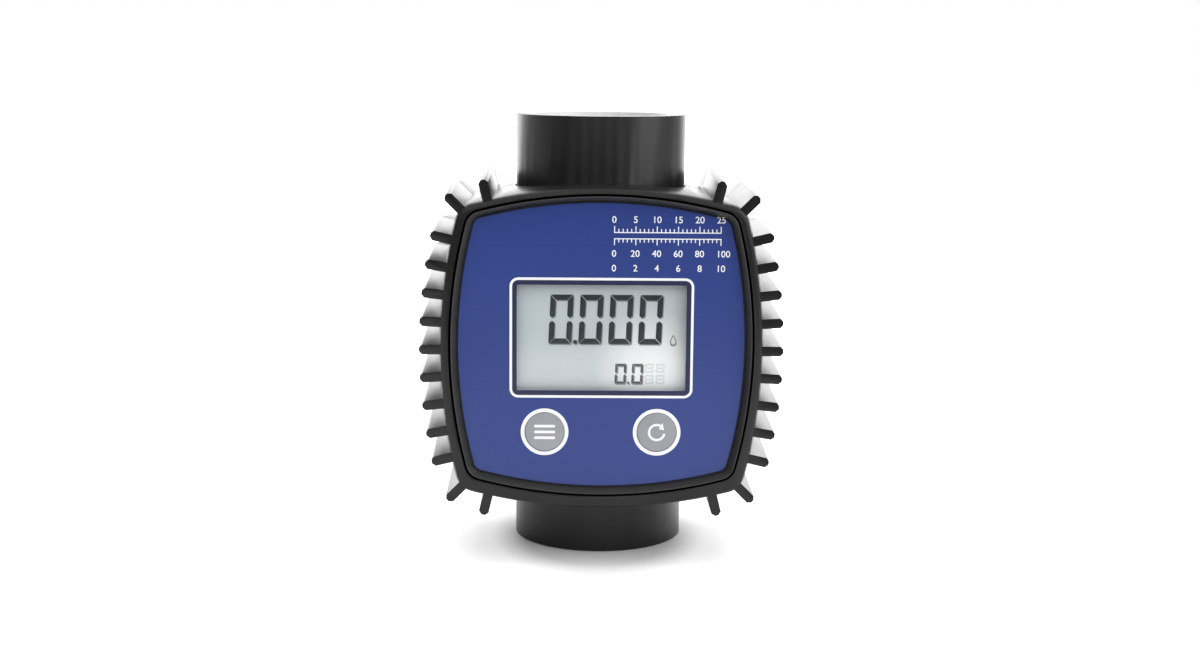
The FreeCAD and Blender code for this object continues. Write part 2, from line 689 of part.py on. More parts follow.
def contact_plate(side, end):
    """A plate in the end of a pod, with a tab that reaches the circuit board."""
    rise = end * (POD_RISE - CONTACT / 2)
    plate = block(CONTACT_WIDTH, CONTACT, CELL_AHEAD - CONTACT_WIDTH / 2, COVER_FRONT,
                  side * CELL_X, rise)
    tab_x = side * (CELL_X - (CONTACT_WIDTH - TAB_WIDTH) / 2)
    return plate.fuse(block(TAB_WIDTH, CONTACT, COVER_FRONT, BOARD_BACK, tab_x, rise))


def battery_contacts():
    return Part.makeCompound([contact_plate(side, -side) for side in (-1, 1)])


def leaf_spring(side, end):
    """A bent leaf from the contact plate to the flat end of the cell."""
    base = end * (POD_RISE - CONTACT)
    crest = end * (POD_RISE - CONTACT - SPRING)
    inner = end * (POD_RISE - CONTACT - SPRING + CONTACT)
    half = CONTACT_WIDTH / 2
    x = side * CELL_X
    path = [(-half, base), (-CONTACT, crest), (CONTACT, crest), (half, base),
            (half - CONTACT, base), (0, inner), (CONTACT - half, base)]
    corners = [at(x - CONTACT_WIDTH / 4, CELL_AHEAD + ahead, rise) for ahead, rise in path]
    leaf = Part.Face(Part.makePolygon(corners + corners[:1]))
    return leaf.extrude(Vector(CONTACT_WIDTH / 2, 0, 0))


def battery_springs():
    return Part.makeCompound([contact_plate(side, side).fuse(leaf_spring(side, side)) for side in (-1, 1)])


# ---------------------------------------------------------------- every node
def nodes():
    return {
        "flow_tube": flow_tube(),
        "retaining_ring": retaining_ring(),
        "inlet_stator": stator(INLET_STATOR_LOW, SLEEVE_LOW),
        "outlet_stator": stator(OUTLET_STATOR_HIGH, SLEEVE_HIGH),
        "turbine_sleeve": turbine_sleeve(),
        "inlet_bush": bush(SLEEVE_LOW - BUSH_LENGTH),
        "outlet_bush": bush(SLEEVE_HIGH),
        "rotor": rotor(),
        "rotor_shaft": rotor_shaft(),
        "rotor_magnets": Part.makeCompound(magnet_bars()),
        "front_housing": front_housing(),
        "rear_housing": rear_housing(),
        "housing_screws": housing_screws(),
        "display_bezel": display_bezel(),
        "face_label": face_label(),
        "lcd_lens": lens_block(0),
        "lcd_glass": lcd_glass(),
        "lcd_frame": lcd_frame(),
        "lcd_connector_strips": lcd_connector_strips(),
        "circuit_board": circuit_board(),
        "microcontroller": microcontroller(),
        "board_parts": board_parts(),
        "menu_switch": switch_body(-BUTTON_X),
        "reset_switch": switch_body(BUTTON_X),
        "menu_switch_stem": switch_stem(-BUTTON_X),
        "reset_switch_stem": switch_stem(BUTTON_X),
        "menu_button": button(-BUTTON_X),
        "reset_button": button(BUTTON_X),
        "pickup_sensor": pickup_sensor(),
        "module_seal": module_seal(),
        "module_back_cover": module_back_cover(),
        "battery_left": battery(-1),
        "battery_right": battery(1),
        "battery_contacts": battery_contacts(),
        "battery_springs": battery_springs(),
    }


os.makedirs("parts", exist_ok=True)
for name, shape in nodes().items():
    shape.exportStep(os.path.join("parts", name + ".step"))
    print(name, len(shape.Solids), round(shape.Volume, 1), shape.isValid())
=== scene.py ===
import json
import math

import bmesh
import bpy
from mathutils import Matrix, Vector

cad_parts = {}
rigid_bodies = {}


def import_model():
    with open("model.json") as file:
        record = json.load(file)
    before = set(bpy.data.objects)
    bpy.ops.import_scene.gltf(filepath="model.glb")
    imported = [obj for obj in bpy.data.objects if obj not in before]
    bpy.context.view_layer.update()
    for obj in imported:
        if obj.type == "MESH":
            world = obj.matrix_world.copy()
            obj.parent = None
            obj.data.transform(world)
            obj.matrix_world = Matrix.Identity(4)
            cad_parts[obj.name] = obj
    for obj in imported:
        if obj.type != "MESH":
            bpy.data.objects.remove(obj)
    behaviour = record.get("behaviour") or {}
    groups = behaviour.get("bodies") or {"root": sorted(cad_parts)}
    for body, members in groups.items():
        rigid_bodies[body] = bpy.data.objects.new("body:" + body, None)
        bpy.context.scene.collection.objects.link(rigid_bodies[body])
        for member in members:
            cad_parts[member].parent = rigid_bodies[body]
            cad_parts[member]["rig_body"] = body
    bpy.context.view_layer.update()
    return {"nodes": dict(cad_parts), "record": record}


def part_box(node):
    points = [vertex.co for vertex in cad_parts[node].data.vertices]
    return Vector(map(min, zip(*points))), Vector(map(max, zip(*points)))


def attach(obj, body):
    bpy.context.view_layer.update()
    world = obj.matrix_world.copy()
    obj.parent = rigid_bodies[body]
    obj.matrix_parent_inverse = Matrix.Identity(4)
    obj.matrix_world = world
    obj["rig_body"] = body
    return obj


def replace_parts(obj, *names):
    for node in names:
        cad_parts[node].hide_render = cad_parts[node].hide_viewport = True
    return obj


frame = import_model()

nodes = frame["nodes"]
scene = bpy.context.scene

# Looks for the turbine flow meter. Sizes below are millimetres, and MM turns them into metres.
# "Ahead" is a distance from the tube's axis towards the reader, and "rise" a height above the
# middle of the label, as in the part's own source.
MM = 0.001

label_low, label_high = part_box("face_label")
lens_low, lens_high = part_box("lcd_lens")
glass_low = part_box("lcd_glass")[0]
tube_low, tube_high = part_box("flow_tube")
MIDDLE = (label_low.z + label_high.z) / 2 / MM
LABEL_AHEAD = -label_low.y / MM
GLASS_AHEAD = -glass_low.y / MM
VIEW_RISE = (lens_low.z + lens_high.z) / 2 / MM - MIDDLE
TUBE_LENGTH = (tube_high.z - tube_low.z) / MM
PRINT = 0.02                # thickness of printed ink
SHARP = 30.0                # degrees: an edge that turns by more than this is rounded
BARE_AND_HIGHLIGHT_R, BARE_AND_HIGHLIGHT_DEPTH = 16.75, 1.3     # the end of a port's bore: uncoated metal with a painted highlight
MIX_A, MIX_B, MIX_RESULT = 6, 7, 2  # the colour sockets of a Mix node


# ---------------------------------------------------------------- materials
def node_tree(name):
    material = bpy.data.materials.new(name)
    material.use_nodes = True
    tree = material.node_tree
    return material, tree, tree.nodes["Principled BSDF"]


def add(tree, kind, **values):
    """A node with its properties and unlinked inputs set by name."""
    node = tree.nodes.new(kind)
    for key, value in values.items():
        if hasattr(node, key):
            setattr(node, key, value)
        else:
            node.inputs[key.replace("_", " ")].default_value = value
    return node


def noise(tree, scale, detail=3.0):
    """Noise fixed to the part, with scale in features per metre."""
    place = add(tree, "ShaderNodeTexCoord")
    texture = add(tree, "ShaderNodeTexNoise", Scale=scale, Detail=detail)
    tree.links.new(place.outputs["Object"], texture.inputs["Vector"])
    return texture.outputs["Fac"]


def ramp(tree, value, stops):
    """A colour ramp from (place, colour) stops."""
    node = add(tree, "ShaderNodeValToRGB")
    elements = node.color_ramp.elements
    for element, (place, colour) in zip(elements, (stops[0], stops[-1])):
        element.position = place
        element.color = (*colour, 1)
    for place, colour in stops[1:-1]:
        elements.new(place).color = (*colour, 1)
    tree.links.new(value, node.inputs["Fac"])
    return node.outputs["Color"]


def spread(tree, value, low, high):
    """Turns the middle half of a noise's range into low to high."""
    node = add(tree, "ShaderNodeMapRange")
    node.inputs["From Min"].default_value = 0.25
    node.inputs["From Max"].default_value = 0.75
    node.inputs["To Min"].default_value = low
    node.inputs["To Max"].default_value = high
    tree.links.new(value, node.inputs["Value"])
    return node.outputs["Result"]


def relief(tree, shader, value, depth, strength=0.5):
    """Raises the surface by a value, with depth in millimetres."""
    bump = add(tree, "ShaderNodeBump", Strength=strength, Distance=depth * MM)
    tree.links.new(value, bump.inputs["Height"])
    tree.links.new(bump.outputs["Normal"], shader.inputs["Normal"])


def surface(name, dark, light, rough, grain=2500.0, depth=0.02, metallic=0.0, specular=0.5):
    """A finish whose colour, gloss and relief all vary a little with the grain."""
    material, tree, shader = node_tree(name)
    fine = noise(tree, grain, 4.0)
    broad = noise(tree, 90.0, 2.0)
    tree.links.new(ramp(tree, broad, [(0.3, dark), (0.7, light)]), shader.inputs["Base Color"])
    tree.links.new(spread(tree, fine, *rough), shader.inputs["Roughness"])
    relief(tree, shader, fine, depth)
    shader.inputs["Metallic"].default_value = metallic
    shader.inputs["Specular IOR Level"].default_value = specular
    return material


def grey(value):
    return (value, value, value)


def either_ray(tree, *kinds):
    """1 where a ray is of either of two kinds, and otherwise 0."""
    path = add(tree, "ShaderNodeLightPath")
    either = add(tree, "ShaderNodeMath", operation="MAXIMUM")
    for number, kind in enumerate(kinds):
        tree.links.new(path.outputs[kind], either.inputs[number])
    return either.outputs["Value"]


def label_film():
    """Blue printed film: its blue varies a little, with a faint orange-peel surface."""
    material, tree, shader = node_tree("label_film")
    broad = noise(tree, 28.0, 1.0)
    colour = ramp(tree, broad, [(0.25, (0.021, 0.044, 0.212)), (0.75, (0.026, 0.05, 0.23))])
    tree.links.new(colour, shader.inputs["Base Color"])
    fine = noise(tree, 1400.0, 2.0)
    tree.links.new(spread(tree, fine, 0.3, 0.36), shader.inputs["Roughness"])
    relief(tree, shader, fine, 0.004, 0.3)
    shader.inputs["Specular IOR Level"].default_value = 0.4
    return material


def display_cell():
    """The grey reflective cell, with a painted glare: brightest near its lower right, and greyer away
    from there.
    """
    glare_x, glare_rise, reach = 11.5, -5.0, 34.0
    material, tree, shader = node_tree("display_cell")
    place = add(tree, "ShaderNodeTexCoord")
    # The painted glare is brightest at this point on the cell and fades away from it.
    bright = add(tree, "ShaderNodeVectorMath", operation="DISTANCE")
    bright.inputs[1].default_value = (glare_x * MM, glass_low.y, (MIDDLE + glare_rise) * MM)
    tree.links.new(place.outputs["Object"], bright.inputs[0])
    away = add(tree, "ShaderNodeMapRange")
    away.inputs["From Max"].default_value = reach * MM
    tree.links.new(bright.outputs["Value"], away.inputs["Value"])
    colour = ramp(tree, away.outputs["Result"],
                  [(0.0, (0.96, 0.96, 0.95)), (0.16, (0.88, 0.89, 0.89)), (0.4, (0.58, 0.62, 0.64)),
                   (1.0, (0.58, 0.64, 0.66))])
    tree.links.new(colour, shader.inputs["Base Color"])
    fine = noise(tree, 6000.0, 2.0)
    tree.links.new(spread(tree, fine, 0.42, 0.55), shader.inputs["Roughness"])
    return material


def clear_lens():
    """A clear window: it passes the light, and shines more the flatter it is seen."""
    material, tree, shader = node_tree("clear_lens")
    tree.nodes.remove(shader)
    clear = add(tree, "ShaderNodeBsdfTransparent")
    clear.inputs["Color"].default_value = (0.985, 0.99, 0.99, 1)
    gloss = add(tree, "ShaderNodeBsdfGlossy")
    tree.links.new(spread(tree, noise(tree, 700.0, 1.0), 0.06, 0.1), gloss.inputs["Roughness"])
    slope = add(tree, "ShaderNodeLayerWeight", Blend=0.5)
    steep = add(tree, "ShaderNodeMath", operation="POWER")
    steep.inputs[1].default_value = 5.0
    tree.links.new(slope.outputs["Facing"], steep.inputs[0])
    share = add(tree, "ShaderNodeMapRange")
    share.inputs["To Min"].default_value = 0.03
    share.inputs["To Max"].default_value = 0.8
    tree.links.new(steep.outputs["Value"], share.inputs["Value"])
    mix = add(tree, "ShaderNodeMixShader")
    tree.links.new(share.outputs["Result"], mix.inputs["Fac"])
    tree.links.new(clear.outputs["BSDF"], mix.inputs[1])
    tree.links.new(gloss.outputs["BSDF"], mix.inputs[2])
    tree.links.new(mix.outputs["Shader"], tree.nodes["Material Output"].inputs["Surface"])
    return material


def coated_tube():
    """Satin black all over, and pale at the ends of the ports' bores: uncoated metal there, with a
    painted highlight on it.
    """
    material = surface("coated_tube", grey(0.008), grey(0.012), (0.32, 0.38), 3600.0, 0.003,
                       specular=0.36)
    tree = material.node_tree
    shader = tree.nodes["Principled BSDF"]
    place = add(tree, "ShaderNodeTexCoord")
    parts = add(tree, "ShaderNodeSeparateXYZ")
    tree.links.new(place.outputs["Object"], parts.inputs["Vector"])
    flat = add(tree, "ShaderNodeMapping")
    flat.inputs["Scale"].default_value = (1, 1, 0)
    tree.links.new(place.outputs["Object"], flat.inputs["Vector"])
    radius = add(tree, "ShaderNodeVectorMath", operation="LENGTH")
    tree.links.new(flat.outputs["Vector"], radius.inputs[0])
    inside = add(tree, "ShaderNodeMath", operation="LESS_THAN")
    inside.inputs[1].default_value = BARE_AND_HIGHLIGHT_R * MM
    tree.links.new(radius.outputs["Value"], inside.inputs[0])
    deep = add(tree, "ShaderNodeMath", operation="COMPARE")
    deep.inputs[1].default_value = TUBE_LENGTH / 2 * MM
    deep.inputs[2].default_value = (TUBE_LENGTH / 2 - BARE_AND_HIGHLIGHT_DEPTH) * MM
    tree.links.new(parts.outputs["Z"], deep.inputs[0])
    bare_and_highlight = add(tree, "ShaderNodeMath", operation="SUBTRACT", use_clamp=True)
    tree.links.new(inside.outputs["Value"], bare_and_highlight.inputs[0])
    tree.links.new(deep.outputs["Value"], bare_and_highlight.inputs[1])
    mix = add(tree, "ShaderNodeMix", data_type="RGBA")
    tree.links.new(bare_and_highlight.outputs["Value"], mix.inputs["Factor"])
    tree.links.new(shader.inputs["Base Color"].links[0].from_socket, mix.inputs[MIX_A])
    # Near-white at the bore's end: uncoated metal with a painted highlight.
    mix.inputs[MIX_B].default_value = (0.9, 0.9, 0.9, 1)
    tree.links.new(mix.outputs[MIX_RESULT], shader.inputs["Base Color"])
    return material


def circuit_film():
    """Green solder mask over a grid of tracks."""
    material, tree, shader = node_tree("circuit_film")
    place = add(tree, "ShaderNodeTexCoord")
    turn = add(tree, "ShaderNodeMapping")
    turn.inputs["Rotation"].default_value = (math.pi / 2, 0, 0)
    tree.links.new(place.outputs["Object"], turn.inputs["Vector"])
    tracks = add(tree, "ShaderNodeTexBrick", Scale=260.0)
    tracks.inputs["Color1"].default_value = (0.008, 0.09, 0.035, 1)
    tracks.inputs["Color2"].default_value = (0.01, 0.11, 0.045, 1)
    tracks.inputs["Mortar"].default_value = (0.05, 0.22, 0.09, 1)
    tree.links.new(turn.outputs["Vector"], tracks.inputs["Vector"])
    tree.links.new(tracks.outputs["Color"], shader.inputs["Base Color"])
    tree.links.new(spread(tree, noise(tree, 900.0), 0.25, 0.4), shader.inputs["Roughness"])
    relief(tree, shader, tracks.outputs["Fac"], 0.03, 0.4)
    return material


def cell_jacket():
    """A printed steel sleeve: a dark band near its upper end, green below it."""
    material, tree, shader = node_tree("cell_jacket")
    place = add(tree, "ShaderNodeTexCoord")
    parts = add(tree, "ShaderNodeSeparateXYZ")
    tree.links.new(place.outputs["Object"], parts.inputs["Vector"])
    low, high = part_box("battery_left")
    height = add(tree, "ShaderNodeMapRange")
    height.inputs["From Min"].default_value = low.z
    height.inputs["From Max"].default_value = high.z
    tree.links.new(parts.outputs["Z"], height.inputs["Value"])
    bands = ramp(tree, height.outputs["Result"],
                 [(0.03, (0.5, 0.5, 0.48)), (0.05, (0.05, 0.22, 0.1)), (0.7, (0.06, 0.26, 0.12)),
                  (0.72, (0.02, 0.02, 0.02)), (0.93, (0.02, 0.02, 0.02)), (0.95, (0.5, 0.5, 0.48))])
    tree.links.new(bands, shader.inputs["Base Color"])
    tree.links.new(spread(tree, noise(tree, 1200.0), 0.25, 0.38), shader.inputs["Roughness"])
    shader.inputs["Metallic"].default_value = 0.4
    return material


MATERIALS = {
    "body_black": coated_tube(),
    "housing_black": surface("moulded_black", grey(0.007), grey(0.011), (0.28, 0.36), 5200.0, 0.006,
                             specular=0.3),
    "bezel_black": surface("bezel_black", (0.03, 0.03, 0.025), (0.037, 0.037, 0.031), (0.26, 0.34),
                           5200.0, 0.006, specular=0.4),
    "label_blue": label_film(),
    "clear_window": clear_lens(),
    "display_grey": display_cell(),
    "carrier_white": surface("carrier_white", grey(0.6), grey(0.68), (0.4, 0.5)),
    "seal_rubber": surface("seal_rubber", grey(0.012), grey(0.02), (0.6, 0.75), 3000.0, 0.03),
    "board_green": circuit_film(),
    "chip_black": surface("chip_black", grey(0.02), grey(0.03), (0.45, 0.6), 7000.0, 0.01),
    "screw_steel": surface("screw_steel", (0.42, 0.43, 0.44), (0.55, 0.55, 0.56), (0.22, 0.36),
                           1500.0, 0.01, 1.0),
    "button_grey": surface("button_grey", (0.3, 0.31, 0.335), (0.335, 0.345, 0.37), (0.4, 0.5),
                           4200.0, 0.01),
    "cell_jacket": cell_jacket(),
    "spring_steel": surface("spring_steel", (0.5, 0.5, 0.49), (0.62, 0.61, 0.6), (0.2, 0.32),
                            1500.0, 0.01, 1.0),
    "cartridge_white": surface("cartridge_white", (0.58, 0.58, 0.55), (0.66, 0.66, 0.63),
                               (0.35, 0.45), 2600.0, 0.01),
    "bush_dark": surface("bush_dark", (0.05, 0.045, 0.04), (0.08, 0.07, 0.06), (0.4, 0.5)),
    "rotor_grey": surface("rotor_grey", (0.2, 0.21, 0.22), (0.26, 0.27, 0.28), (0.35, 0.45),
                          2600.0, 0.01),
    "magnet_dark": surface("magnet_dark", grey(0.06), grey(0.12), (0.4, 0.6), 3000.0, 0.02, 0.6),
}
INK_WHITE = surface("ink_white", (0.86, 0.87, 0.88), (0.92, 0.93, 0.94), (0.4, 0.5), 3000.0, 0.003)
INK_NAVY = surface("ink_navy", (0.005, 0.009, 0.045), (0.007, 0.012, 0.055), (0.35, 0.42), 3000.0, 0.003)
# The black of the painted shadow line where the label's edge meets the bezel.
EDGE_SHADOW_BLACK = surface("edge_shadow_black", grey(0.004), grey(0.006), (0.5, 0.6), 3000.0, 0.003, specular=0.2)
SEGMENT = surface("display_segment", (0.012, 0.016, 0.02), (0.02, 0.025, 0.03), (0.4, 0.5), 3000.0, 0.003)
SEGMENT_SHADE = surface("display_shade", (0.2, 0.23, 0.24), (0.25, 0.28, 0.29), (0.4, 0.5), 3000.0, 0.003)
SEGMENT_GHOST = surface("display_ghost", (0.67, 0.7, 0.71), (0.72, 0.75, 0.76), (0.4, 0.5), 3000.0, 0.003)

slot_of = {entry["node"]: entry["material_slot"] for entry in frame["record"]["subparts"]}
for name, node in nodes.items():
    node.data.materials.clear()
    node.data.materials.append(MATERIALS[slot_of[name]])


# ---------------------------------------------------------------- pieces
def place_piece(piece, body):
    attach(piece, body)
    return piece


def mesh_piece(name, bm, material, body):
    mesh = bpy.data.meshes.new(name)
    bm.to_mesh(mesh)
    bm.free()
    mesh.materials.append(material)
    piece = bpy.data.objects.new(name, mesh)
    scene.collection.objects.link(piece)
    return place_piece(piece, body)


def softened(name, width):
    """A copy of a CAD node with its sharp edges rounded, which stands for that node."""
    source = nodes[name]
    bm = bmesh.new()
    bm.from_mesh(source.data)
    bmesh.ops.remove_doubles(bm, verts=bm.verts, dist=0.002 * MM)
    bmesh.ops.dissolve_limit(bm, angle_limit=math.radians(0.5), verts=bm.verts, edges=bm.edges)
    for face in bm.faces:
        face.smooth = True
    piece = mesh_piece("soft_" + name, bm, source.data.materials[0], source["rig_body"])
    bevel = piece.modifiers.new("edges", "BEVEL")
    bevel.width = width * MM
    bevel.segments = 3
    bevel.limit_method = "ANGLE"
    bevel.angle_limit = math.radians(SHARP)
    bevel.harden_normals = True
    bevel.miter_outer = "MITER_ARC"
    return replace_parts(piece, name)


def turned(piece, radius):
    """Gives a turned wall of this radius about the tube's axis its true normals, so that the flats
    of its mesh don't show in the gloss."""
    shape = piece.evaluated_get(bpy.context.evaluated_depsgraph_get())
    mesh = bpy.data.meshes.new_from_object(shape)
    normals = [None] * len(mesh.vertices)
    for corner, normal in zip(mesh.loops, mesh.corner_normals):
        normals[corner.vertex_index] = normal.vector.copy()
    for number, vertex in enumerate(mesh.vertices):
        outward = Vector((vertex.co.x, vertex.co.y, 0))
        on_wall = abs(outward.length - radius * MM) < 0.05 * MM
        if on_wall and normals[number].dot(outward.normalized()) > 0.9:
            normals[number] = outward.normalized()
    piece.modifiers.clear()
    piece.data = mesh
    mesh.normals_split_custom_set_from_vertices(normals)
    return piece


def circle(x, rise, radius, steps=72):
    angles = [2 * math.pi * step / steps for step in range(steps)]
    return [(x + radius * math.cos(a), rise + radius * math.sin(a)) for a in angles]


def rounded_box(x, rise, width, height, radius, steps=8):
    points = []
    for quarter, (sx, sy) in enumerate(((1, 1), (-1, 1), (-1, -1), (1, -1))):
        for step in range(steps + 1):
            angle = math.pi / 2 * (quarter + step / steps)
            points.append((x + sx * (width / 2 - radius) + radius * math.cos(angle),
                           rise + sy * (height / 2 - radius) + radius * math.sin(angle)))
    return points


def printed(name, loops, ahead, material, body="root"):
    """Flat shapes that face the reader. A loop inside another is a hole in it."""
    curve = bpy.data.curves.new(name, "CURVE")
    curve.dimensions = "2D"
    curve.fill_mode = "BOTH"
    curve.extrude = PRINT / 2 * MM
    for loop in loops:
        spline = curve.splines.new("POLY")
        spline.points.add(len(loop) - 1)
        for point, (x, rise) in zip(spline.points, loop):
            point.co = (x * MM, rise * MM, 0, 1)
        spline.use_cyclic_u = True
    curve.materials.append(material)
    piece = bpy.data.objects.new(name, curve)
    scene.collection.objects.link(piece)
    piece.matrix_world = facing(0, ahead + PRINT / 2, 0)
    return place_piece(piece, body)


def facing(x, ahead, rise):
    """Turns a flat drawing's X and Y into the part's X and Z, at a place in the front view."""
    place = Matrix.Translation((x * MM, -ahead * MM, (MIDDLE + rise) * MM))
    return place @ Matrix.Rotation(math.pi / 2, 4, "X")


def figures(name, text, x, rise):
    """Plain numbers printed on the label, with x and rise at the bottom left."""
    curve = bpy.data.curves.new(name, "FONT")
    curve.body = text
    curve.size = FIGURE_SIZE * MM
    curve.offset = FIGURE_BOLD * MM
    curve.extrude = PRINT / 2 * MM
    curve.materials.append(INK_WHITE)
    piece = bpy.data.objects.new(name, curve)
    scene.collection.objects.link(piece)
    piece.matrix_world = facing(x, LABEL_AHEAD + PRINT / 2, rise)
    return place_piece(piece, "root")


# ---------------------------------------------------------------- label print
LINE_WIDTH, LINE_HEIGHT, LINE = 41.4, 27.4, 0.58
LINE_OUTER_R, LINE_INNER_R = 2.0, 1.4
VIEW_WIDTH, VIEW_HEIGHT, VIEW_CORNER_R = 38.2, 24.1, 0.05
BUTTON_HOLE_R, BUTTON_RING_R = 4.56, 5.42
BUTTON_DROP = 19.8
LABEL_CORNER, LABEL_CORNER_R, LABEL_SIDE_R = 26.65, 2.5, 107.0
# The painted shadow line where the label meets the bezel lies between these two insets.
EDGE_SHADOW_OUTER, EDGE_SHADOW_INNER = 0.02, 0.34     # in from the label's edge
FIGURE_SIZE, FIGURE_BOLD = 2.1, 0.02
ONE_FIGURE, MORE_FIGURES = 0.5, 1.1         # how far a number starts left of its tick
SCALE_LEFT, SCALE_LENGTH = 2.6, 24.0
UPPER_RULE, LOWER_RULE = 25.6, 24.2         # rises of the two ruled lines
TICKS, TICK_HEIGHT, TICK_STROKE = 25, 1.3, 0.22
SHORT_TICK = 0.55                           # its height, as a share of a tall one's


def label_outline(inset, steps=12):
    """The label's pillow-square outline, drawn in by a distance."""
    back = math.sqrt((LABEL_SIDE_R - LABEL_CORNER_R) ** 2 - LABEL_CORNER ** 2) - LABEL_CORNER
    half = math.atan2(LABEL_CORNER, LABEL_CORNER + back)
    points = []
    for quarter in range(4):
        turn = Matrix.Rotation(math.pi / 2 * quarter, 2)
        for step in range(steps):
            angle = half * (2 * step / steps - 1)
            radius = LABEL_SIDE_R - inset
            points.append(turn @ Vector((radius * math.cos(angle) - back, radius * math.sin(angle))))
        for step in range(steps):
            angle = half + (math.pi / 2 - 2 * half) * step / steps
            radius = LABEL_CORNER_R - inset
            points.append(turn @ Vector((LABEL_CORNER + radius * math.cos(angle),
                                         LABEL_CORNER + radius * math.sin(angle))))
    return [tuple(point) for point in points]


def button_x(key):
    low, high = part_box(key + "_button")
    return (low.x + high.x) / 2 / MM


def label_print():
    # A black line along the label's edge: painted shadow where the label meets the bezel.
    printed("label_edge_shadow", [label_outline(EDGE_SHADOW_OUTER), label_outline(EDGE_SHADOW_INNER)],
            LABEL_AHEAD, EDGE_SHADOW_BLACK)
    outer = rounded_box(0, VIEW_RISE, LINE_WIDTH, LINE_HEIGHT, LINE_OUTER_R)
    inner = rounded_box(0, VIEW_RISE, LINE_WIDTH - 2 * LINE, LINE_HEIGHT - 2 * LINE, LINE_INNER_R)
    view = rounded_box(0, VIEW_RISE, VIEW_WIDTH, VIEW_HEIGHT, VIEW_CORNER_R, 2)
    printed("window_line", [outer, inner], LABEL_AHEAD, INK_WHITE)
    printed("window_band", [inner, view], LABEL_AHEAD, INK_NAVY)
    for key in ("menu", "reset"):
        loops = [circle(button_x(key), -BUTTON_DROP, radius) for radius in (BUTTON_RING_R, BUTTON_HOLE_R)]
        printed(key + "_ring", loops, LABEL_AHEAD, INK_WHITE)


def tick_row(name, rise, down):
    """A ruled line with upright ticks, every fifth one taller."""
    x, stroke = SCALE_LEFT, TICK_STROKE
    sign = -1 if down else 1
    base = rise if down else rise + stroke
    loops = [[(x, rise), (x + SCALE_LENGTH, rise), (x + SCALE_LENGTH, rise + stroke), (x, rise + stroke)]]
    for step in range(TICKS + 1):
        height = TICK_HEIGHT if step % 5 == 0 else TICK_HEIGHT * SHORT_TICK
        left = x + (SCALE_LENGTH - stroke) * step / TICKS
        loops.append([(left, base), (left + stroke, base), (left + stroke, base + sign * height),
                      (left, base + sign * height)])
    for number, loop in enumerate(loops):
        printed(f"{name}_{number}", [loop], LABEL_AHEAD, INK_WHITE)


def number_scales():
    for step in range(6):
        x = SCALE_LEFT + SCALE_LENGTH * step / 5
        for row, unit, rise in (("upper", 5, 27.9), ("lower", 20, 20.3), ("last", 2, 17.0)):
            text = str(unit * step)
            shift = ONE_FIGURE if len(text) == 1 else MORE_FIGURES
            figures(f"{row}_figure_{step}", text, x - shift, rise)
    tick_row("upper_ticks", UPPER_RULE, False)
    tick_row("lower_ticks", LOWER_RULE, True)


# ---------------------------------------------------------------- display figures
SLANT = 2.5                 # degrees
ZERO, ALL_BARS = "abcdef", "abcdefg"
DROP_X, DROP_RISE = 16.3, 1.05
SHADE_RIGHT, SHADE_DOWN = 0.22, 0.28        # how far the shade falls on the cell's back


def segment_loops(x, rise, width, height, stroke, lit=ZERO):
    """The lit bars of one seven-segment figure, with x and rise at its bottom left."""
    gap = stroke * 0.08
    half = stroke / 2
    middle = height / 2
    waist = stroke * 0.28
    shoulder = half + waist * 0.6

    bars = {
        "a": [(gap, height), (width - gap, height), (width - stroke - gap, height - stroke),
              (stroke + gap, height - stroke)],
        "d": [(gap, 0.0), (stroke + gap, stroke), (width - stroke - gap, stroke), (width - gap, 0.0)],
        "f": [(0.0, height - gap), (stroke, height - stroke - gap), (stroke, middle + shoulder),
              (half, middle + waist), (0.0, middle + shoulder)],
        "e": [(0.0, gap), (0.0, middle - shoulder), (half, middle - waist), (stroke, middle - shoulder),
              (stroke, stroke + gap)],
        "b": [(width, height - gap), (width, middle + shoulder), (width - half, middle + waist),
              (width - stroke, middle + shoulder), (width - stroke, height - stroke - gap)],
        "c": [(width, gap), (width - stroke, stroke + gap), (width - stroke, middle - shoulder),
              (width - half, middle - waist), (width, middle - shoulder)],
        "g": [(half + gap, middle), (stroke + gap, middle + half),
              (width - stroke - gap, middle + half), (width - half - gap, middle),
              (width - stroke - gap, middle - half), (stroke + gap, middle - half)],
    }
    lean = math.tan(math.radians(SLANT))
    return [[(x + px + lean * py, rise + py) for px, py in bars[key]] for key in lit]


def drop_loop(size):
    """A drop's outline, with its point upwards."""
    loop = []
    for step in range(36):
        angle = 2 * math.pi * step / 36
        loop.append((DROP_X + size * math.sin(angle) * math.sin(angle / 2) ** 1.2,
                     DROP_RISE + 1.3 * size * math.cos(angle)))
    return loop


def display_figures():
    main, small, ghost = [], [], []
    for x in (-12.0, -5.24, 1.52, 8.28):
        main += segment_loops(x, rise=0.15, width=5.2, height=11.25, stroke=1.25)
    main.append(rounded_box(-5.95, 0.6, 0.85, 0.85, 0.15, 2))
    for x in (3.05, 6.85):
        small += segment_loops(x, rise=-8.95, width=2.5, height=4.6, stroke=0.52)
    small.append(rounded_box(6.15, -8.7, 0.45, 0.45, 0.1, 2))
    for x in (9.9, 12.4):
        for rise in (-6.4, -9.0):
            ghost += segment_loops(x, rise, width=2.0, height=2.1, stroke=0.38, lit=ALL_BARS)
    drop = [drop_loop(size) for size in (1.05, 0.68)]
    shade = [[(x + SHADE_RIGHT, rise - SHADE_DOWN) for x, rise in loop] for loop in main + small]
    lit_ahead = GLASS_AHEAD + 0.03
    printed("display_main", main, lit_ahead, SEGMENT)
    printed("display_small", small, lit_ahead, SEGMENT)
    printed("display_drop", drop, lit_ahead, SEGMENT_SHADE)
    printed("display_ghost", ghost, GLASS_AHEAD, SEGMENT_GHOST)
    printed("display_shade", shade, GLASS_AHEAD, SEGMENT_SHADE)


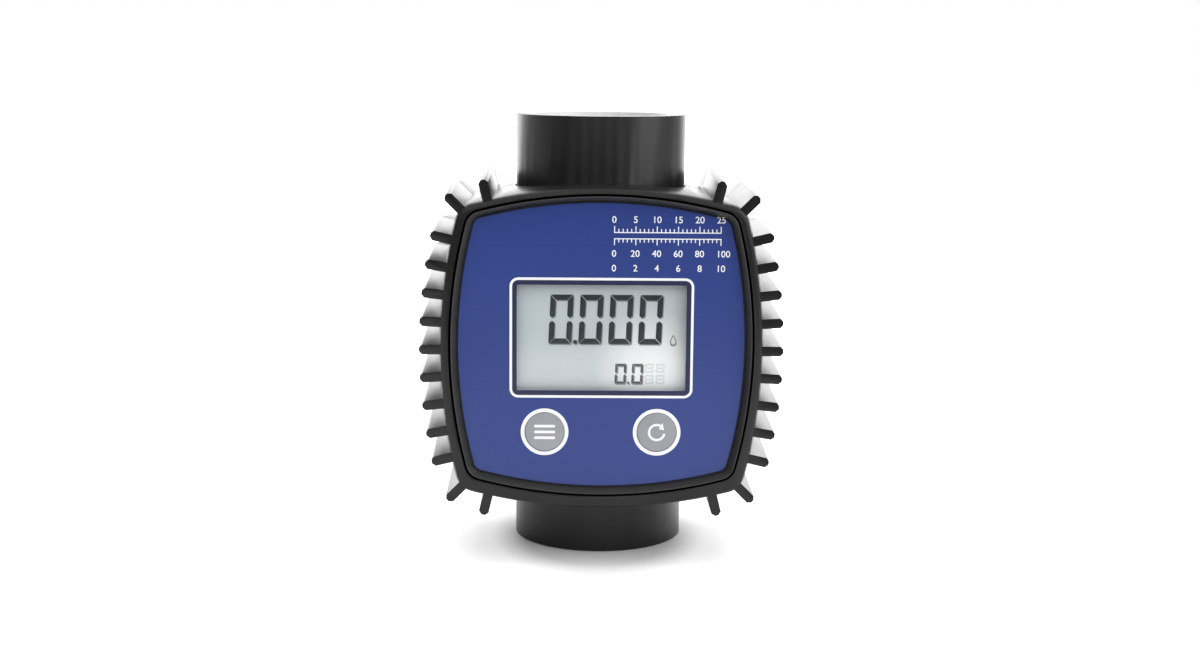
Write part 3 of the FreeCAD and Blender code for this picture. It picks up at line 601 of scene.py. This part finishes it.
# ---------------------------------------------------------------- button signs
def button_signs():
    """Three bars on one cap, and a turning arrow on the other."""
    cap_ahead = -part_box("menu_button")[0].y / MM
    bars = [rounded_box(button_x("menu"), -BUTTON_DROP + offset, 4.8, 0.62, 0.3, 4)
            for offset in (-1.35, 0, 1.35)]
    printed("menu_sign", bars, cap_ahead, INK_WHITE, "menu_key")

    x = button_x("reset")
    radius, stroke, head_half, head_turn = 1.75, 0.55, 0.85, 0.75
    start, sweep, steps = math.radians(60), math.radians(290), 40

    def at(distance, angle):
        return x + distance * math.cos(angle), -BUTTON_DROP + distance * math.sin(angle)

    angles = [start + sweep * step / steps for step in range(steps + 1)]
    outer = [at(radius + stroke / 2, angle) for angle in angles]
    inner = [at(radius - stroke / 2, angle) for angle in angles]
    head = [at(radius + head_half, start), at(radius - head_half, start), at(radius, start - head_turn)]
    printed("reset_sign", [outer + inner[::-1], head], cap_ahead, INK_WHITE, "reset_key")


# ---------------------------------------------------------------- threads
def thread_ridges(name, mouth, inward):
    """The helical ridge of a port's thread, which fades out at its inner end."""
    pitch, root_r, crest_r, depth = 2.309, 16.7, 15.3, 15.0
    root_half, crest_half = 0.46, 0.1       # of the ridge's width, as shares of the pitch
    profile = ((root_r, -root_half), (crest_r, -crest_half), (crest_r, crest_half), (root_r, root_half))
    steps = 64
    count = int(steps * (depth - pitch) / pitch)
    bm = bmesh.new()
    rows = []
    for step in range(count + 1):
        angle = 2 * math.pi * step / steps
        centre = mouth + inward * (pitch * 0.6 + pitch * step / steps)
        fade = min(1.0, step / (steps * 0.25), (count - step) / (steps * 0.75))
        row = []
        for radius, offset in profile:
            r = root_r - (root_r - radius) * fade
            z = centre + offset * pitch
            row.append(bm.verts.new((r * math.cos(angle * inward) * MM,
                                     r * math.sin(angle * inward) * MM, z * MM)))
        rows.append(row)
    for first, second in zip(rows, rows[1:]):
        for number in range(3):
            bm.faces.new((first[number], second[number], second[number + 1], first[number + 1]))
        bm.faces.new((first[3], second[3], second[0], first[0]))
    bm.faces.new(rows[0])
    bm.faces.new(rows[-1])
    bmesh.ops.recalc_face_normals(bm, faces=bm.faces)
    return mesh_piece(name, bm, MATERIALS["body_black"], "root")


# ---------------------------------------------------------------- screws
def cross_recessed_screws():
    """The housing screws, with cross recesses cut into their heads."""
    piece = softened("housing_screws", 0.35)
    low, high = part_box("housing_screws")
    head_r, slot, across, deep = 2.75, 0.75, 3.1, 2.4
    bm = bmesh.new()
    for x in (low.x + head_r * MM, high.x - head_r * MM):
        for z in (low.z + head_r * MM, high.z - head_r * MM):
            for width, height in ((across, slot), (slot, across)):
                bmesh.ops.create_cube(bm, size=1.0, matrix=Matrix.Translation((x, high.y, z))
                                      @ Matrix.Diagonal((width * MM, deep * MM, height * MM, 1)))
    mesh = bpy.data.meshes.new("crosses")
    bm.to_mesh(mesh)
    bm.free()
    cutter = bpy.data.objects.new("crosses", mesh)
    scene.collection.objects.link(cutter)
    cut = piece.modifiers.new("recess", "BOOLEAN")
    cut.object = cutter
    cut.solver = "EXACT"
    cut.use_self = True
    shape = piece.evaluated_get(bpy.context.evaluated_depsgraph_get())
    piece.data = bpy.data.meshes.new_from_object(shape)
    piece.modifiers.clear()
    bpy.data.objects.remove(cutter)


turned(softened("flow_tube", 0.3), tube_high.x / MM)
for name, width in (("front_housing", 0.35), ("rear_housing", 0.4), ("display_bezel", 0.15),
                    ("menu_button", 0.2), ("reset_button", 0.2), ("inlet_stator", 0.15),
                    ("outlet_stator", 0.15), ("turbine_sleeve", 0.15), ("retaining_ring", 0.15),
                    ("rotor", 0.12)):
    softened(name, width)
label_print()
number_scales()
display_figures()
button_signs()
thread_ridges("inlet_thread_ridge", 0.0, 1)
thread_ridges("outlet_thread_ridge", TUBE_LENGTH, -1)
cross_recessed_screws()


# ---------------------------------------------------------------- stage, lights and camera
# Sizes and places here are metres, apart from the camera's place.
def floor():
    """A sheet of white paper that ends a little in front of the part. It glows for the camera and in
    reflections only. The glow is painted light, which grows with the distance from the part: it
    lightens the part's cast shadow away from its foot, and the paper meets the background without an
    edge."""
    side, front, back, height = 3.0, -0.32, 4.0, -0.0002
    bm = bmesh.new()
    corners = [(-side, front), (side, front), (side, back), (-side, back)]
    bm.faces.new([bm.verts.new((x, y, height)) for x, y in corners])
    mesh = bpy.data.meshes.new("floor")
    bm.to_mesh(mesh)
    bm.free()
    material, tree, shader = node_tree("floor_paper")
    fine = noise(tree, 400.0, 2.0)
    tree.links.new(ramp(tree, fine, [(0.3, grey(0.79)), (0.7, grey(0.81))]), shader.inputs["Base Color"])
    shader.inputs["Roughness"].default_value = 0.9
    shader.inputs["Emission Color"].default_value = (1, 1, 1, 1)
    place = add(tree, "ShaderNodeTexCoord")
    glows = []
    # Both glows are painted light. One starts at the tube's foot and lightens the cast shadow beyond it,
    # and the other spreads over the whole sheet.
    for scale, near, far, most in (((50, 31, 0), 0.95, 1.3, 0.34), ((1, 1, 0), 0.05, 0.6, 0.9)):
        squeeze = add(tree, "ShaderNodeMapping")
        squeeze.inputs["Scale"].default_value = scale
        tree.links.new(place.outputs["Object"], squeeze.inputs["Vector"])
        length = add(tree, "ShaderNodeVectorMath", operation="LENGTH")
        tree.links.new(squeeze.outputs["Vector"], length.inputs[0])
        glow = add(tree, "ShaderNodeMapRange")
        for key, value in (("From Min", near), ("From Max", far), ("To Min", 0.03), ("To Max", most)):
            glow.inputs[key].default_value = value
        tree.links.new(length.outputs["Value"], glow.inputs["Value"])
        glows.append(glow.outputs["Result"])
    total = add(tree, "ShaderNodeMath", operation="ADD")
    tree.links.new(glows[0], total.inputs[0])
    tree.links.new(glows[1], total.inputs[1])
    lift = add(tree, "ShaderNodeMath", operation="MULTIPLY")
    tree.links.new(either_ray(tree, "Is Camera Ray", "Is Glossy Ray"), lift.inputs[0])
    tree.links.new(total.outputs["Value"], lift.inputs[1])
    tree.links.new(lift.outputs["Value"], shader.inputs["Emission Strength"])
    mesh.materials.append(material)
    piece = bpy.data.objects.new("floor", mesh)
    scene.collection.objects.link(piece)


def studio_world():
    """White all round for the camera and through clear pieces. For the light and in reflections it
    is bright behind the part and dark in front."""
    world = bpy.data.worlds.new("studio")
    scene.world = world
    world.use_nodes = True
    tree = world.node_tree
    background = tree.nodes["Background"]
    place = add(tree, "ShaderNodeTexCoord")
    parts = add(tree, "ShaderNodeSeparateXYZ")
    tree.links.new(place.outputs["Generated"], parts.inputs["Vector"])
    backwards = add(tree, "ShaderNodeMapRange")
    backwards.inputs["From Min"].default_value = -1
    backwards.inputs["From Max"].default_value = 1
    tree.links.new(parts.outputs["Y"], backwards.inputs["Value"])
    shade = ramp(tree, backwards.outputs["Result"],
                 [(0.0, grey(0.03)), (0.25, grey(0.06)), (0.5, grey(0.6)), (1.0, grey(1.0))])
    mix = add(tree, "ShaderNodeMix", data_type="RGBA")
    tree.links.new(either_ray(tree, "Is Camera Ray", "Is Transmission Ray"), mix.inputs["Factor"])
    tree.links.new(shade, mix.inputs[MIX_A])
    mix.inputs[MIX_B].default_value = (1, 1, 1, 1)
    tree.links.new(mix.outputs[MIX_RESULT], background.inputs["Color"])


def softbox(name, place, target, width, height, power, glossy=True):
    """A soft lamp aimed at a target, which shows in reflections unless glossy is off."""
    light = bpy.data.lights.new(name, "AREA")
    light.shape = "RECTANGLE"
    light.size = width
    light.size_y = height
    light.energy = power
    lamp = bpy.data.objects.new(name, light)
    scene.collection.objects.link(lamp)
    lamp.location = place
    lamp.visible_camera = False
    lamp.visible_glossy = glossy
    lamp.rotation_euler = (Vector(target) - Vector(place)).to_track_quat("-Z", "Y").to_euler()


def camera():
    """In front of the meter and a little above it, tilted down and turned slightly to its right."""
    place = [value * MM for value in (-7.08, -405.7, 114.1)]
    pitch, yaw, roll = (math.radians(angle) for angle in (9.18, 1.03, 0.51))
    forward = Vector((math.sin(yaw) * math.cos(pitch), math.cos(yaw) * math.cos(pitch),
                      -math.sin(pitch)))
    side = Vector((math.cos(yaw), -math.sin(yaw), 0))
    up = side.cross(forward)
    right = side * math.cos(roll) + up * math.sin(roll)
    top = up * math.cos(roll) - side * math.sin(roll)
    data = bpy.data.cameras.new("camera")
    data.lens = 50.6
    data.sensor_width = 36.0
    data.clip_start = 0.01
    piece = bpy.data.objects.new("camera", data)
    scene.collection.objects.link(piece)
    axes = Matrix((right, top, -forward)).transposed().to_4x4()
    piece.matrix_world = Matrix.Translation(place) @ axes
    scene.camera = piece


floor()
studio_world()
softbox("backlight", (0, 0.8, 0.3), (0, 0, 0.08), 1.6, 0.6, 7.0)
softbox("overhead", (0, 0.1, 0.8), (0, 0, 0.05), 0.8, 0.8, 5.0, glossy=False)
softbox("front_high", (0.0, -0.75, 0.8), (0, 0, 0.05), 1.8, 1.0, 8.0)
softbox("key_right", (0.95, -0.55, 0.5), (0, 0, 0.05), 0.8, 0.8, 6.0)
camera()
scene.view_settings.view_transform = "Standard"
